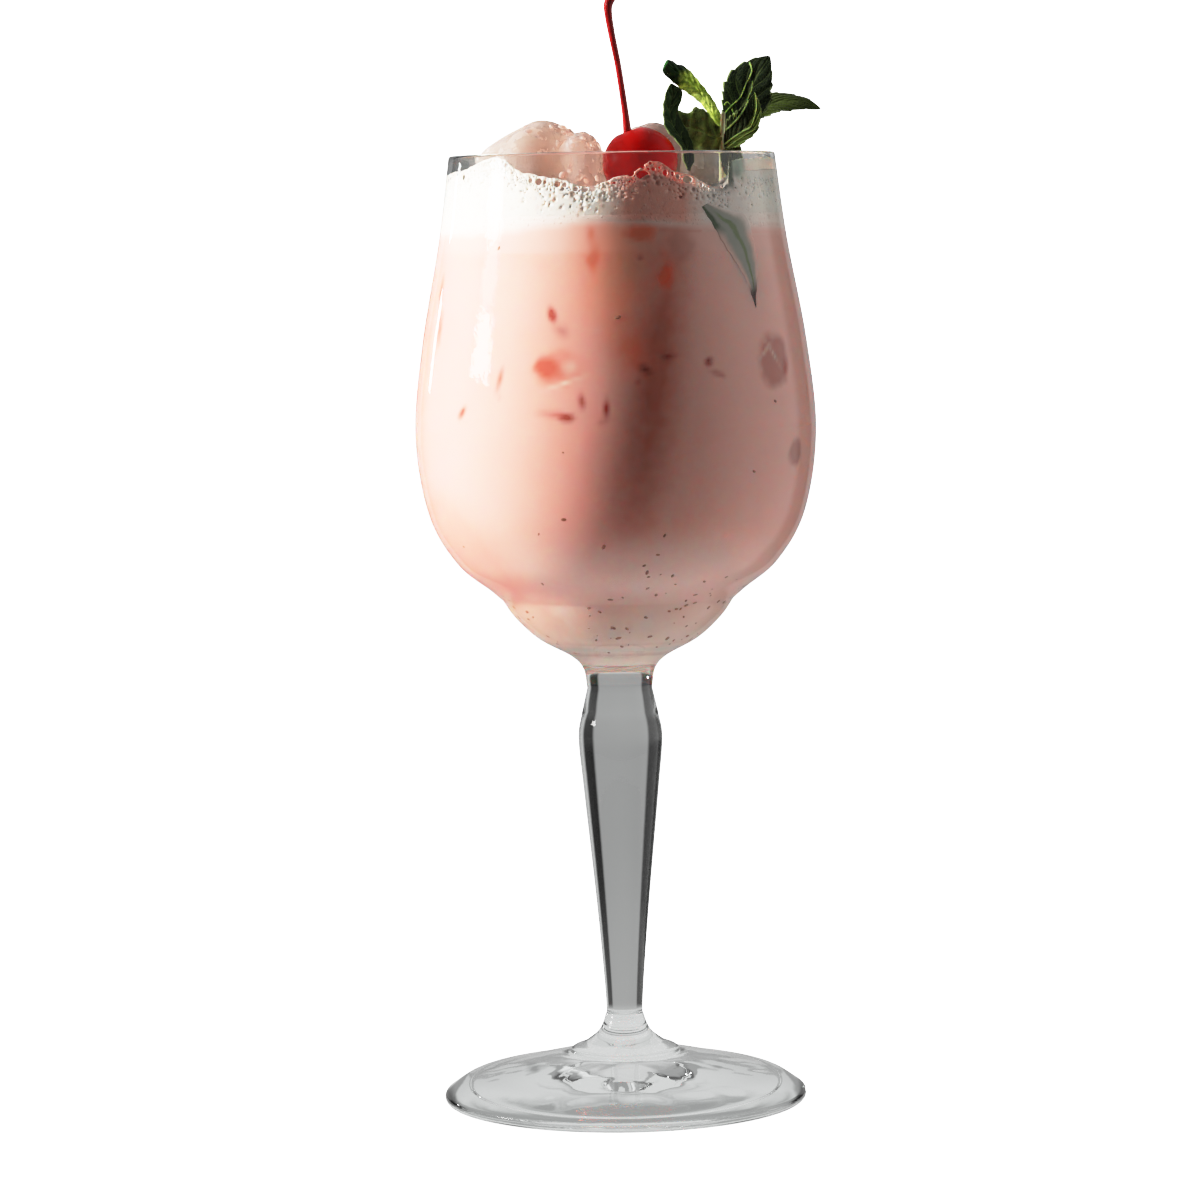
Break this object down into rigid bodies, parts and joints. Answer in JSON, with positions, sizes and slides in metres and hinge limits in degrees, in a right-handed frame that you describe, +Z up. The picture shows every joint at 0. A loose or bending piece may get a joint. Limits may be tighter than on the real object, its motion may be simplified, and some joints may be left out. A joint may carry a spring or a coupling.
{
  "type": "strawberry colada in a stemmed glass",
  "caption": "Blended strawberry and coconut cocktail in a tall stemmed glass, topped with foam, crushed ice, a candied cherry on its stalk and a sprig of fresh mint.",
  "frame": {"origin": "middle of the foot's underside", "axes": "+Z up along the stem, -Y towards the cherry, +X towards the mint"},
  "size_m": [0.0927, 0.0906, 0.2496],
  "materials": {
    "clear_glass": "clear, polished, thin walled, slightly grey where it is thick",
    "strawberry_colada": "opaque milky pink-orange drink with fruit bits and seeds, stands in for the liquid",
    "pink_foam": "fine pale pink froth with open bubbles",
    "ice": "frosted, cloudy crushed ice tinted by the drink",
    "cherry_skin": "wet, saturated red candied skin",
    "cherry_stalk": "dark red stalk, woody and slightly rough",
    "mint_stalk": "pale green fresh plant stalk",
    "mint_leaf": "dark green leaf with lighter veins, soft sheen"
  },
  "bodies": {
    "root": {"glass": "clear_glass", "drink": "strawberry_colada", "foam": "pink_foam", "ice_1": "ice", "ice_2": "ice", "ice_3": "ice", "ice_4": "ice", "ice_5": "ice", "cherry": "cherry_skin", "cherry_stem": "cherry_stalk", "mint_stem": "mint_stalk", "mint_leaf_1": "mint_leaf", "mint_leaf_2": "mint_leaf", "mint_leaf_3": "mint_leaf", "mint_leaf_4": "mint_leaf", "mint_leaf_5": "mint_leaf", "mint_leaf_6": "mint_leaf", "mint_leaf_7": "mint_leaf"}
  },
  "joints": []
}
